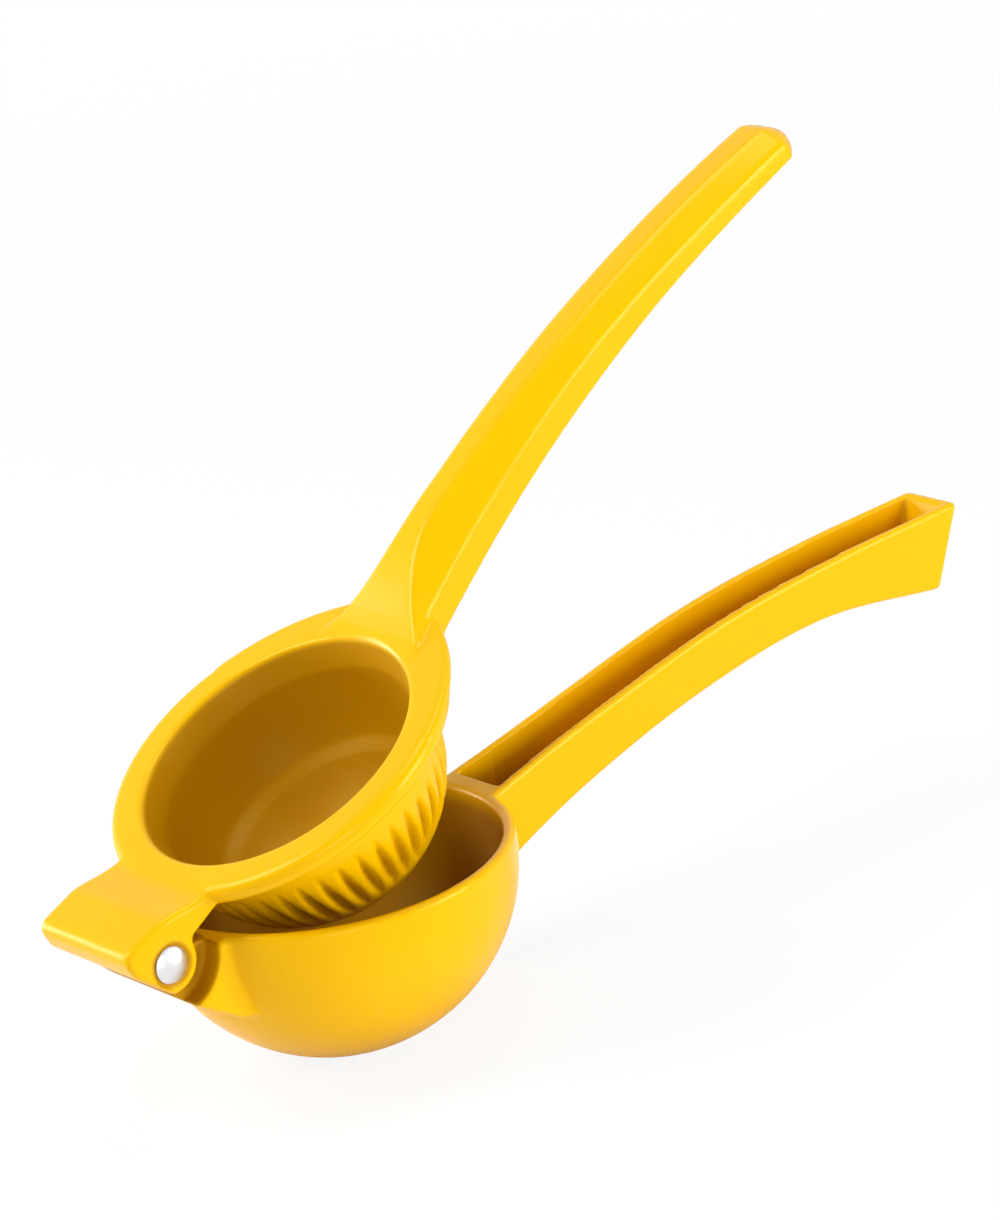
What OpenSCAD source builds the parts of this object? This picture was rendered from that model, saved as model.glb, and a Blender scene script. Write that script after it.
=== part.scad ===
// Hinged lemon squeezer: a perforated bowl and a fluted press cup, each cast in
// one piece with its handle, turning on a riveted pin.
// Both arms are drawn closed about the pin axis: +X runs along the handles,
// +Y along the pin, +Z up. place() then sets the origin at the middle of the foot.

/* [Hinge] */
// Opening between the two arms as shown
rest_opening = 25.4; // [5:0.1:60]
// Pin axis to the middle of bowl and cup
pin_to_cup = 44.2; // [42:0.1:50]
// Diameter of the pin's shank
pin_d = 5; // [4:0.1:5.6]
// Diameter of the pin's domed heads
pin_head_d = 7.6; // [6.8:0.1:9]
// Height of a pin head above its seat
pin_head_h = 1.5; // [1:0.1:2.5]
// Depth of the seat that each head lies in
pin_seat_depth = 0.5; // [0.2:0.1:1]
// Gap round a head in its seat
pin_seat_gap = 0.35; // [0.2:0.05:0.6]
// Gap round the shank in the knuckle's bore
running_gap = 0.05; // [0.02:0.01:0.09]
// Diameter of the bowl arm's knuckle
knuckle_d = 9.2; // [8.4:0.1:9.6]
// Width of the knuckle along the pin
knuckle_w = 18.6; // [14:0.1:22]
// Gap between the knuckle and each ear
knuckle_side_gap = 0.4; // [0.2:0.05:0.8]
// Gap between the knuckle and the hood over it
knuckle_top_gap = 0.5; // [0.3:0.05:0.8]
// Thickness of each ear
ear_t = 4; // [3:0.1:6]
// Radius of an ear round the pin
ear_r = 5.7; // [5.2:0.1:6.5]
// Radius of the pocket that an ear turns in
pocket_r = 9.9; // [9.6:0.1:11]

/* [Hood] */
// Front of the hood ahead of the pin axis
hood_front = 6.7; // [6.3:0.1:8]
// Top of the hood above the pin axis
hood_top = 8.2; // [7.4:0.1:10]
// Lower edge of the hood's front wall above the pin axis
hood_lip = 1; // [0.5:0.1:3]
// Radius of the hood's front top edge
hood_edge_r = 2.4; // [1:0.1:3]

/* [Bowl] */
// Outer diameter of the bowl
bowl_d = 70; // [69.6:0.1:78]
// Thickness of the bowl's wall
bowl_wall = 2.4; // [2:0.1:3.4]
// Bowl's middle below the pin axis
bowl_drop = 1.4; // [1:0.1:2.5]
// Top of the bowl's rim above the pin axis
rim_z = 0.6; // [0:0.1:0.7]
// Width of the rim's softened outer edge
rim_chamfer = 0.8; // [0.4:0.1:1.2]
// Depth that the foot is cut flat
foot_cut = 1; // [0.6:0.1:1.4]
// Number of juice slots in the bottom
slot_count = 8; // [6:1:9]
// Width of a juice slot
slot_w = 2.8; // [2:0.1:3.2]
// Inner end of the slots from the bowl's axis
slot_from = 5; // [4.8:0.1:6]
// Outer end of the slots from the bowl's axis
slot_to = 14; // [10:0.1:18]

/* [Bowl arm's neck] */
// Half width of the cheeks beside the knuckle
cheek_half_w = 14.1; // [13.8:0.1:16]
// Top of the cheeks above the pin axis
cheek_top = 0; // [-0.6:0.1:0.2]
// Depth of the neck where it meets the bowl
neck_depth = 16.8; // [14:0.1:19]

/* [Press cup] */
// Diameter of the cup's mouth
cup_mouth_d = 54.4; // [52:0.1:55]
// Radius that softens the mouth's edge
cup_mouth_r = 1; // [0.5:0.1:1.5]
// Outer diameter of the fluted dome
dome_d = 56.4; // [55.6:0.1:57]
// Dome's middle below the pin axis
dome_drop = 0.7; // [0.2:0.1:1.5]
// Thickness of the dome's wall
dome_wall = 2.8; // [2.5:0.1:3.4]
// Depth of the ledge inside the cup below the pin axis
ledge_z = 15.5; // [12:0.1:18]
// Width of the ledge inside the cup
ledge_w = 0.9; // [0.4:0.1:1.5]
// Outer diameter of the flange
flange_d = 68.2; // [66:0.1:69]
// Top of the flange above the pin axis
flange_top = 5; // [4.6:0.1:5.6]
// Underside of the flange above the pin axis
flange_under = 0.9; // [0.8:0.1:1.2]
// Gap between the press arm's handle and the bowl's rim
rim_gap = 0.7; // [0.4:0.1:1.2]
// Radius of the flange's outer edges
flange_edge_r = 1.8; // [0.4:0.1:1.9]
// Number of flutes round the dome
flute_count = 44; // [36:1:46]
// Greatest depth of a flute
flute_depth = 1.8; // [1.2:0.1:2]
// Greatest width of a flute
flute_w = 2.7; // [2:0.1:3]
// Upper end of the flutes below the dome's middle
flute_start = 2.6; // [1.5:0.1:5]

/* [Bowl arm's handle] */
// Pin axis to the end of the handle's top edge
lower_reach = 200.8; // [190:0.2:210]
// Top edge at the end ahead of the bottom edge
lower_end_rake = 7.4; // [4:0.1:10]
// Outer width of the channel
lower_w = 14; // [13:0.1:16]
// Extra width of the channel beside the bowl
lower_root_flare = 2.4; // [0:0.1:4]
// Thickness of the channel's walls
lower_wall = 1.8; // [1.4:0.1:2.4]
// Thickness of the channel's floor
lower_floor = 2.2; // [1.6:0.1:3]
// Heights of the top edge above the pin axis, from bowl to end in equal steps
lower_top = [0.4, 7.1, 12.8, 15, 15.4];
// Heights of the bottom edge above the pin axis, from bowl to end in equal steps
lower_bottom = [-15.6, -5.6, 1.3, 3.9, -0.6];

/* [Press arm's handle] */
// Pin axis to the end of the handle
upper_reach = 199.6; // [190:0.2:210]
// Width of the handle at its side walls
upper_w = 15; // [14:0.1:17]
// Width of the flat band along the handle's crest
crest_w = 5.2; // [3:0.1:7]
// Thickness of the handle's side walls
upper_wall = 2; // [1.5:0.1:2.6]
// Thickness of the handle's top
upper_web = 2.4; // [1.8:0.1:3]
// Length of the rounded end
upper_end_l = 4.6; // [3:0.1:6]
// Share of the height that the end's rounding takes off
upper_end_drop = 0.6; // [0.2:0.05:0.65]
// Heights of the crest above the pin axis, from cup to end in equal steps
upper_crest = [5.2, 17, 20.3, 20.1, 17.9];
// Heights of the side walls' top edges, from cup to end in equal steps
upper_edge = [4.2, 11.4, 15.9, 16.3, 14.7];
// Heights of the side walls' bottom edges, from cup to end in equal steps
upper_bottom = [-1.4, 4.6, 10.4, 12.8, 11.8];

/* [Hidden] */

$fn = 96;
cut = 0.02;
bowl_r = bowl_d / 2;
bowl_inner_r = bowl_r - bowl_wall;
dome_r = dome_d / 2;
pin_r = pin_d / 2;
knuckle_r = knuckle_d / 2;
hood_bore_r = knuckle_r + knuckle_top_gap;
fork_gap = knuckle_w + 2 * knuckle_side_gap;
ear_face = fork_gap / 2 + ear_t;
head_seat = ear_face - pin_seat_depth;
foot_z = -bowl_drop - bowl_r + foot_cut;
// the rim's outer radius, and where the lower handle starts inside the bowl's wall
rim_r = sqrt(pow(bowl_r, 2) - pow(rim_z + bowl_drop, 2));
lower_start = pin_to_cup + bowl_r - bowl_wall + 0.6;
lower_start_rake = bowl_r - sqrt(pow(bowl_r, 2) - pow(lower_bottom[0] + bowl_drop, 2));
upper_start = pin_to_cup + flange_d / 2 - 4.7;
handle_steps = 40;

// ---- helpers ----

// Smooth height at share u of a handle, through equally spaced heights
function tangent(h, i) = let (n = len(h) - 1)
    i == 0 ? 1.6 * (h[1] - h[0]) - 0.3 * (h[2] - h[0]) : i == n ? h[n] - h[n - 1] : (h[i + 1] - h[i - 1]) / 2;
function smooth(h, u) = let (
    n = len(h) - 1,
    i = min(n - 1, floor(u * n)),
    t = u * n - i,
    a = h[i], b = h[i + 1], da = tangent(h, i), db = tangent(h, i + 1)
) a + da * t + (3 * (b - a) - 2 * da - db) * t * t + (da + db - 2 * (b - a)) * t * t * t;

// A solid through rings of points, each ring with as many points
module loft(rings) {
    n = len(rings[0]);
    last = (len(rings) - 1) * n;
    sides = [for (i = [0 : len(rings) - 2]) for (j = [0 : n - 1]) let (
        a = i * n + j, b = i * n + (j + 1) % n, c = b + n, d = a + n
    ) each [[a, c, b], [a, d, c]]];
    polyhedron(
        points = [for (ring = rings) each ring],
        faces = concat([[for (j = [0 : n - 1]) j]], sides, [[for (j = [n - 1 : -1 : 0]) last + j]])
    );
}

module along_pin(r, w) rotate([90, 0, 0]) cylinder(r = r, h = w, center = true);

// A side view of X and Z, as thick as w along the pin
module side_slab(w) rotate([90, 0, 0]) linear_extrude(w, center = true) children();

module both_sides() {
    children();
    mirror([0, 1, 0]) children();
}

module at_cup(z) translate([pin_to_cup, 0, z]) children();

// ---- bowl arm ----

module bowl_ball(r) at_cup(-bowl_drop) sphere(r);

module bowl_shell() difference() {
    bowl_ball(bowl_r);
    at_cup(rim_z) cylinder(r = bowl_d, h = bowl_d);
    at_cup(foot_z - bowl_d) cylinder(r = bowl_d, h = bowl_d);
    // softened outer edge of the rim
    at_cup(rim_z) rotate_extrude() polygon([
        [rim_r - rim_chamfer, cut], [rim_r + 1, cut], [rim_r + 1, -rim_chamfer - 1], [rim_r - 0.1, -rim_chamfer]
    ]);
}

module juice_slots() at_cup(-bowl_drop - bowl_r) for (i = [0 : slot_count - 1])
    rotate(i * 360 / slot_count) linear_extrude(bowl_r) {
        translate([slot_from + slot_w / 2, -slot_w / 2]) square([slot_to - slot_from - slot_w, slot_w]);
        for (x = [slot_from, slot_to - slot_w]) translate([x + slot_w / 2, 0]) circle(d = slot_w);
    }

// Side view of the neck: from the knuckle's underside down to the bowl
module neck_outline() polygon([
    [0, cheek_top], [pin_to_cup - bowl_r + 8, cheek_top],
    [pin_to_cup - bowl_r + 8, -neck_depth], [pin_to_cup - bowl_r + 3, -neck_depth + 1.2],
    [knuckle_r, -pocket_r - 0.6], [0.6, -knuckle_r - 2.4], [-knuckle_r * 0.5, -knuckle_r * 0.86]
]);

module neck() difference() {
    union() {
        side_slab(2 * cheek_half_w) neck_outline();
        along_pin(knuckle_r, knuckle_w);
    }
    // pockets that the ears turn in
    both_sides() translate([0, knuckle_w / 2, 0]) rotate([-90, 0, 0])
        cylinder(r = pocket_r, h = cheek_half_w);
}

function lower_half_w(u) = lower_w / 2 + lower_root_flare / 2 * pow(max(0, 1 - u / 0.22), 2)
    - 1.2 * pow(max(0, u - 0.97) / 0.03, 2);

// Along the handle at share u; the bottom edge starts and ends short of the top edge
function lower_x(u, start_rake, end_rake) =
    (1 - u) * (lower_start - start_rake) + u * (lower_reach - end_rake);

// A rectangular ring of the lower handle at share u, drawn in by inset
function lower_ring(u, inset, floor_t, rise) = let (
    w = lower_half_w(u) - inset,
    xt = lower_x(u, 0, 0), xb = lower_x(u, lower_start_rake, lower_end_rake),
    zt = smooth(lower_top, u) + rise, zb = smooth(lower_bottom, u) + floor_t
) [[xt, -w, zt], [xb, -w, zb], [xb, w, zb], [xt, w, zt]];

module lower_handle() loft([for (i = [0 : handle_steps]) lower_ring(i / handle_steps, 0, 0, 0)]);

module lower_channel() {
    from = (bowl_wall + 1) / (lower_reach - lower_start);
    to = 1 - lower_wall * 1.15 / (lower_reach - lower_start);
    loft([for (i = [0 : handle_steps])
        lower_ring(from + i / handle_steps * (to - from), lower_wall, lower_floor, 3)]);
}

module bowl_arm() color("gold") place() difference() {
    union() {
        bowl_shell();
        neck();
        lower_handle();
    }
    bowl_ball(bowl_inner_r);
    lower_channel();
    juice_slots();
    along_pin(pin_r + running_gap, 2 * cheek_half_w);
}

// ---- press arm ----

module cup_outline() {
    // flange
    difference() {
        union() {
            translate([0, flange_under + flange_edge_r])
                square([flange_d / 2, flange_top - flange_under - 2 * flange_edge_r]);
            translate([0, flange_under]) square([flange_d / 2 - flange_edge_r, flange_top - flange_under]);
            for (z = [flange_under, flange_top - 2 * flange_edge_r])
                translate([flange_d / 2 - flange_edge_r, z + flange_edge_r]) circle(flange_edge_r);
        }
        translate([-flange_d, -flange_d]) square([flange_d, 2 * flange_d]);
    }
    // dome
    intersection() {
        translate([0, -dome_drop]) circle(dome_r);
        translate([0, -dome_d]) square([dome_d, dome_d + flange_under + cut]);
    }
}

// Half section of the cup's inside: dome above a ledge, drafted wall, softened mouth
module cup_hollow_outline() {
    inner_r = dome_r - dome_wall;
    floor_r = inner_r - ledge_w;
    intersection() {
        translate([0, -dome_drop]) circle(floor_r);
        translate([0, -dome_d]) square([floor_r, dome_d - ledge_z + cut]);
    }
    intersection() {
        translate([0, -dome_drop]) circle(inner_r);
        translate([0, -ledge_z]) square([inner_r + 1, ledge_z - dome_drop]);
    }
    polygon([
        [0, -dome_drop - cut], [inner_r, -dome_drop - cut],
        [cup_mouth_d / 2 - cup_mouth_r * 0.3, flange_top - cup_mouth_r],
        [cup_mouth_d / 2, flange_top - cup_mouth_r * 0.25],
        [cup_mouth_d / 2 + cup_mouth_r * 0.6, flange_top + cut], [0, flange_top + cut]
    ]);
}

// One V-shaped flute: its root is a chord below the dome's round side
module flute() {
    half_span = acos(1 - flute_depth / dome_r);
    top_angle = asin(flute_start / dome_r);
    mid_angle = top_angle + half_span;
    rotate([0, mid_angle, 0]) translate([dome_r - flute_depth, 0, 0])
        linear_extrude(2 * dome_r * sin(half_span) + 6, center = true)
            polygon([[0, 0], [flute_depth * 2, -flute_w], [flute_depth * 2, flute_w]]);
}

module press_cup() at_cup(0) difference() {
    rotate_extrude() cup_outline();
    translate([0, 0, -dome_drop]) for (i = [0 : flute_count - 1])
        rotate((i + 0.5) * 360 / flute_count) flute();
}

// Side view of the hood and ears: lobe round the pin, front wall, rising top
module hood_outline() {
    back = pin_to_cup - flange_d / 2 + 4;
    back_top = flange_top - 0.3;
    polygon([
        [-hood_front, hood_lip + 2.4], [-hood_front, hood_top - hood_edge_r],
        for (a = [165 : -15 : 90]) [
            -hood_front + hood_edge_r + hood_edge_r * cos(a), hood_top - hood_edge_r + hood_edge_r * sin(a)],
        for (u = [0.25 : 0.125 : 1])
            [u * back, back_top + (hood_top - back_top) * (0.5 + 0.5 * cos(180 * u))],
        [back, flange_under + 0.3], [ear_r + 0.4, flange_under - 0.4], [-ear_r * 0.49, -ear_r * 0.87]
    ]);
    circle(ear_r);
}

module hood() difference() {
    side_slab(2 * ear_face) hood_outline();
    // room for the knuckle and the neck below the hood
    along_pin(hood_bore_r, fork_gap);
    translate([-pin_to_cup, -fork_gap / 2, hood_lip - pin_to_cup]) cube([2 * pin_to_cup, fork_gap, pin_to_cup]);
}

function upper_u(x) = (x - upper_start) / (upper_reach - upper_start);

// The crest's band is as wide as the handle at the cup and narrows along a curve
function crest_half_w(u) = crest_w / 2 + 7.6 * pow(max(0, 1 - u / 0.185), 2);
function upper_half_w(u) = upper_w / 2 + 5.6 * pow(max(0, 1 - u / 0.13), 2);
function end_share(u) = let (
    left = (1 - u) * (upper_reach - upper_start) / upper_end_l
) left >= 1 ? 1 : sqrt(max(0.02, left));

// The end is rounded in side view too
function end_height(u) = 1 - upper_end_drop * pow(1 - pow(end_share(u), 2), 1.5);

// A roof-shaped ring: band on the crest, sloping flanks and upright side walls
function upper_ring(u, inset, web, sink) = let (
    x = upper_start + u * (upper_reach - upper_start),
    w = upper_half_w(u) * end_share(u) - inset,
    c = min(crest_half_w(u) * end_share(u), w),
    zb = smooth(upper_bottom, u) - sink,
    zc = zb + (smooth(upper_crest, u) - web - zb) * end_height(u),
    ze = zb + (smooth(upper_edge, u) - web - zb) * min(1, 1.3 * end_height(u))
) [[x, -c, zc], [x, -w, ze], [x, -w, zb], [x, w, zb], [x, w, ze], [x, c, zc]];

module upper_handle() {
    straight_to = upper_u(upper_reach - upper_end_l);
    loft([
        for (i = [0 : handle_steps]) upper_ring(i / handle_steps * straight_to, 0, 0, 0),
        for (i = [1 : 5]) upper_ring(straight_to + (1 - straight_to) * sin(i * 18), 0, 0, 0)
    ]);
}

module upper_channel() {
    from = upper_u(pin_to_cup + flange_d / 2 + 4);
    to = upper_u(upper_reach - upper_end_l - 1);
    loft([for (i = [0 : handle_steps])
        upper_ring(from + i / handle_steps * (to - from), upper_wall, upper_web, 3)]);
}

module press_arm() color("gold") place() rotate([0, -rest_opening, 0]) difference() {
    union() {
        press_cup();
        hood();
        upper_handle();
    }
    at_cup(0) rotate_extrude() cup_hollow_outline();
    upper_channel();
    // room for the bowl's rim below the handle's root
    at_cup(flange_under - bowl_r) difference() {
        cylinder(r = bowl_r + rim_gap, h = bowl_r);
        cylinder(r = dome_r + 1, h = bowl_r);
    }
    along_pin(pin_r, 3 * ear_face);
    both_sides() translate([0, head_seat, 0]) rotate([-90, 0, 0])
        cylinder(d = pin_head_d + 2 * pin_seat_gap, h = ear_t);
}

// ---- hinge pin ----

module pin_head() intersection() {
    cylinder(d = pin_head_d, h = pin_head_h);
    head_ball_r = (pow(pin_head_d / 2, 2) + pow(pin_head_h - 0.5, 2)) / (2 * (pin_head_h - 0.5));
    translate([0, 0, pin_head_h - head_ball_r]) sphere(head_ball_r);
}

module hinge_pin() color("silver") place() {
    along_pin(pin_r, 2 * head_seat);
    both_sides() translate([0, head_seat, 0]) rotate([-90, 0, 0]) pin_head();
}

module place() translate([-pin_to_cup, 0, -foot_z]) children();

bowl_arm();
press_arm();
hinge_pin();
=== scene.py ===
# %% [markdown]
# # A hinged lemon squeezer
# The real tool is three pieces: two aluminium castings, coated with glossy yellow enamel, and the
# rivet that joins them. The lower casting is a perforated bowl with an open channel for a
# handle. The upper one is a fluted press cup with a roof-shaped handle and a hood over the hinge.
# The imported model gives every place and size, so its three nodes are loaded first and the new
# pieces are built where those nodes are. Its pieces stay in the scene, hidden.

# %% load the frame
import math
import bmesh
import bpy
from mathutils import Matrix, Vector


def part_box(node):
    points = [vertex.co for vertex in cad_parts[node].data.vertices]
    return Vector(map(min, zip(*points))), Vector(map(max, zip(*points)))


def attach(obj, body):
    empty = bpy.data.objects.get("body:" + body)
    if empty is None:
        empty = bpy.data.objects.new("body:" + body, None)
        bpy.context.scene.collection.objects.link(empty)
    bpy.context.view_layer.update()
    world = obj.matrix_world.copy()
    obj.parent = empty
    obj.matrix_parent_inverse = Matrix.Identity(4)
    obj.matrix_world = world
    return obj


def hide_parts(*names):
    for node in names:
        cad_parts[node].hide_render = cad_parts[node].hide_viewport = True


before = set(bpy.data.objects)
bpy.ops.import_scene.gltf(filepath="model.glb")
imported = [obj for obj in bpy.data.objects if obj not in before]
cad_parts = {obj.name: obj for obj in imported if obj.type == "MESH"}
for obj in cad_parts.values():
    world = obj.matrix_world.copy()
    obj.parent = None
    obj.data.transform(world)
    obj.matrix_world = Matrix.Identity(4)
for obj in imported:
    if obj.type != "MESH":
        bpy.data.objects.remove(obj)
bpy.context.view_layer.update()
for name in sorted(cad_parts):
    low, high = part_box(name)
    print(name, "size in mm", [round((b - a) * 1000, 1) for a, b in zip(low, high)])

# %% [markdown]
# ## The camera
# A photograph's camera can be found by matching round things, such as the bowl's rim and the cup's
# mouth, with the ellipses that they make in the picture. That gave a long lens, 180 mm on a
# 36 mm wide sensor, and these three directions. The rows of a camera's turn are its right, its up
# and what lies behind it, so the matrix is built from them instead of from three angles.

# %% camera
CAMERA_PLACE = Vector((-0.46190, -0.69308, 0.38356))
LOOKS_RIGHT = Vector((0.76057, -0.63049, -0.15496))
LOOKS_DOWN = Vector((-0.33547, -0.17729, -0.92522))
LOOKS_AHEAD = Vector((0.55586, 0.75568, -0.34636))

bpy.ops.object.camera_add(location=CAMERA_PLACE)
camera = bpy.context.object
turn = Matrix((LOOKS_RIGHT, -LOOKS_DOWN, -LOOKS_AHEAD)).transposed().to_4x4()
camera.matrix_world = Matrix.Translation(CAMERA_PLACE) @ turn
camera.data.lens = 180
camera.data.sensor_fit = "HORIZONTAL"
camera.data.sensor_width = 36
camera.data.clip_end = 20
bpy.context.scene.camera = camera
print("camera is", round(CAMERA_PLACE.length, 3), "m from the foot of the bowl")

# %% [markdown]
# ## Sizes and hand tools
# The pin's axis is the one line that both castings share, so every place is written in millimetres
# from it: +X towards the handles, +Y along the pin, +Z up. `at` turns such a place into metres in
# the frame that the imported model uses, whose origin is the foot of the bowl.

# %% places
MM = 0.001
PIN_X, PIN_Z = -44.2, 35.4
CUP_X = 44.2
OPEN_ANGLE = math.radians(25.4)


def at(x, y, z):
    return Vector((x + PIN_X, y, z + PIN_Z)) * MM


def about_pin(angle, axis):
    """A turn about an axis through the middle of the pin."""
    pin = at(0, 0, 0)
    return Matrix.Translation(pin) @ Matrix.Rotation(angle, 4, axis) @ Matrix.Translation(-pin)


def alone(piece):
    bpy.ops.object.select_all(action="DESELECT")
    piece.select_set(True)
    bpy.context.view_layer.objects.active = piece


def finish_with(piece, kind, **settings):
    modifier = piece.modifiers.new(kind.lower(), kind)
    for key, value in settings.items():
        setattr(modifier, key, value)
    alone(piece)
    bpy.ops.object.modifier_apply(modifier=modifier.name)
    return piece


def round_edges(piece, width, segments, sharper_than):
    """Rounds every edge that turns by more than an angle in degrees."""
    return finish_with(piece, "BEVEL", width=width * MM, segments=segments,
                       limit_method="ANGLE", angle_limit=math.radians(sharper_than))


def between(start, end, steps):
    return [start + (end - start) * i / steps for i in range(steps + 1)]


def from_0_to_1(value):
    return min(1, max(0, value))


# %% [markdown]
# A foundry pattern is made from simple solids that are added together and cut from each other.
# Blender's Boolean modifier does both. Each tool solid is thrown away once it has been used.

# %% add and cut
def combine(piece, tools, how):
    for tool in tools:
        finish_with(piece, "BOOLEAN", operation=how, object=tool, solver="EXACT")
        bpy.data.objects.remove(tool)
    return piece


# %% [markdown]
# ## Drawing an outline
# Most of the forms here start as a line that is drawn and then turned on a lathe, cut out as a
# plate, or pulled into a bar. With no pen in Blender's edit mode, the line is made by hand in the
# usual way: a small plane is merged to one point, and that point is extruded again and again.

# %% pen, lathe and plate
def pen(name, points):
    bpy.ops.object.select_all(action="DESELECT")
    bpy.ops.mesh.primitive_plane_add(size=MM, location=(0, 0, 0))
    piece = bpy.context.object
    piece.name = name
    bpy.ops.object.mode_set(mode="EDIT")
    bpy.ops.mesh.merge(type="CENTER")
    bpy.ops.transform.translate(value=points[0])
    for a, b in zip(points, points[1:]):
        bpy.ops.mesh.extrude_region_move(TRANSFORM_OT_translate={"value": b - a})
    bpy.ops.mesh.select_all(action="SELECT")
    return piece


def close_skin(piece):
    bpy.ops.mesh.select_all(action="SELECT")
    bpy.ops.mesh.remove_doubles(threshold=0.00001)
    bpy.ops.mesh.normals_make_consistent(inside=False)
    bpy.ops.object.mode_set(mode="OBJECT")
    return piece


def lathe(name, outline, middle_x, steps=144):
    """Turns an outline of (radius, height) points about an upright axis."""
    piece = pen(name, [at(middle_x + r, 0, z) for r, z in outline])
    bpy.ops.mesh.spin(steps=steps, angle=2 * math.pi, center=at(middle_x, 0, 0), axis=(0, 0, 1))
    return close_skin(piece)


def plate(name, outline, half_width):
    """A plate cut to a side view of (x, z) points, as thick as twice half_width."""
    piece = pen(name, [at(x, -half_width, z) for x, z in outline])
    bpy.ops.mesh.edge_face_add()
    bpy.ops.mesh.extrude_region_move(TRANSFORM_OT_translate={"value": (0, 2 * half_width * MM, 0)})
    return close_skin(piece)


def rod(name, x, z, radius, y_from, y_to):
    bpy.ops.object.select_all(action="DESELECT")
    bpy.ops.mesh.primitive_cylinder_add(
        vertices=96, radius=radius * MM, depth=abs(y_to - y_from) * MM,
        location=at(x, (y_from + y_to) / 2, z), rotation=(math.radians(90), 0, 0))
    bpy.ops.object.transform_apply(location=True, rotation=True, scale=True)
    bpy.context.object.name = name
    return bpy.context.object


def arc(middle_z, radius, from_angle, to_angle, steps):
    """Points of a circle about (0, middle_z); an angle of 0 points outwards and -90 down."""
    shares = [i / steps for i in range(steps + 1)]
    angles = [math.radians(from_angle + (to_angle - from_angle) * share) for share in shares]
    return [(radius * math.cos(a), middle_z + radius * math.sin(a)) for a in angles]


# %% [markdown]
# ## Pulling a handle
# Both handles are bars whose section changes along a gentle curve. The photograph gave the heights
# of their edges at five or nine places, equally spaced, and `height` joins them smoothly. The slope
# at a handle's root leans on the two steps that follow it, so that it starts a little steeper. A
# bar is then pulled as clay is: its first section is drawn, and each extrude moves the section on
# to its next shape.

# %% smooth heights and a pulled bar
ROOT_NEAR_STEP, ROOT_FAR_STEP = 1.6, 0.3


def slope(heights, i):
    last = len(heights) - 1
    if i == 0:
        near, far = heights[1] - heights[0], heights[2] - heights[0]
        return ROOT_NEAR_STEP * near - ROOT_FAR_STEP * far
    if i == last:
        return heights[last] - heights[last - 1]
    return (heights[i + 1] - heights[i - 1]) / 2


def height(heights, share):
    i = min(len(heights) - 2, int(share * (len(heights) - 1)))
    t = share * (len(heights) - 1) - i
    a, b, da, db = heights[i], heights[i + 1], slope(heights, i), slope(heights, i + 1)
    return a + da * t + (3 * (b - a) - 2 * da - db) * t ** 2 + (da + db - 2 * (b - a)) * t ** 3


def pull(name, sections, edge_radius=0.0):
    """A bar through sections, each a ring of as many (x, y, z) places."""
    rings = [[at(*place) for place in section] for section in sections]
    piece = pen(name, rings[0])
    bpy.ops.mesh.edge_face_add()
    step = Vector((MM, 0, 0))
    for before, after in zip(rings, rings[1:]):
        bpy.ops.mesh.extrude_region_move(TRANSFORM_OT_translate={"value": step})
        mesh = bmesh.from_edit_mesh(piece.data)
        for vertex in [v for v in mesh.verts if v.select]:
            nearest = min(range(len(before)), key=lambda j: (before[j] + step - vertex.co).length)
            vertex.co = after[nearest]
        bmesh.update_edit_mesh(piece.data)
    close_skin(piece)
    if edge_radius:
        round_edges(piece, edge_radius, segments=3, sharper_than=24)
    return piece


# %% [markdown]
# ## Softening a casting
# Cast metal has no sharp corners, and enamel rounds them further. Instead of a bevel on each of
# the many places where two forms meet, the whole solid gets a new skin of small even squares and
# that skin is relaxed, which leaves a radius of about 1 mm everywhere, inside corners too.

# %% new skin
SKIN_SQUARE, MOST_TRIANGLES = 0.4, 190000


def soften(piece, rounds):
    finish_with(piece, "REMESH", mode="VOXEL", voxel_size=SKIN_SQUARE * MM, use_smooth_shade=True)
    finish_with(piece, "SMOOTH", factor=0.5, iterations=rounds)
    triangles = 2 * len(piece.data.polygons)
    if triangles > MOST_TRIANGLES:
        finish_with(piece, "DECIMATE", ratio=MOST_TRIANGLES / triangles)
    alone(piece)
    bpy.ops.object.shade_smooth()
    print(piece.name, "has", sum(len(f.vertices) - 2 for f in piece.data.polygons), "triangles")
    return piece


# %% [markdown]
# ## Painted shade in the hollows
# Shade is painted into the deep hollows of each casting: the enamel is made browner and duller
# there, where little light reaches. So each point of a casting gets a number from 0, in the open,
# to 1, deep in a hollow. It is kept as an attribute that the enamel reads later. A point counts as
# part of a hollow when it lies a little past the hollow's ideal wall, because the new skin has
# moved it, and the number grows over a short depth from the mouth.

# %% painted shade attribute
# Stores each point's share of painted shade, from 0 to 1, for the enamel to read.
def mark_painted_shade(piece, painted_shade_at):
    places = [v.co / MM - Vector((PIN_X, 0, PIN_Z)) for v in piece.data.vertices]
    values = [painted_shade_at(*place) for place in places]
    piece.data.attributes.new("painted_shade", "FLOAT", "POINT").data.foreach_set("value", values)
    print(piece.name, "has", sum(value > 0.5 for value in values), "points deep in a hollow")


# %% [markdown]
# ## Piece 1: the bowl arm
# The bowl is turned first, as a solid. Its outside is a 70 mm ball with a flat foot and a rim that
# is rounded over. A solid is easier to join to the neck and the handle than a thin shell is, and
# the hollow is cut afterwards, so nothing is left standing inside the bowl.

# %% bowl, solid
BOWL_R, BOWL_WALL, BOWL_Z, RIM_Z, FOOT_CUT = 35.0, 2.4, -1.4, 0.6, 1.0
RIM_ROUND, RIM_CORNER_IN, RIM_CORNER_DOWN = 0.9, 0.35, 0.15

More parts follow.
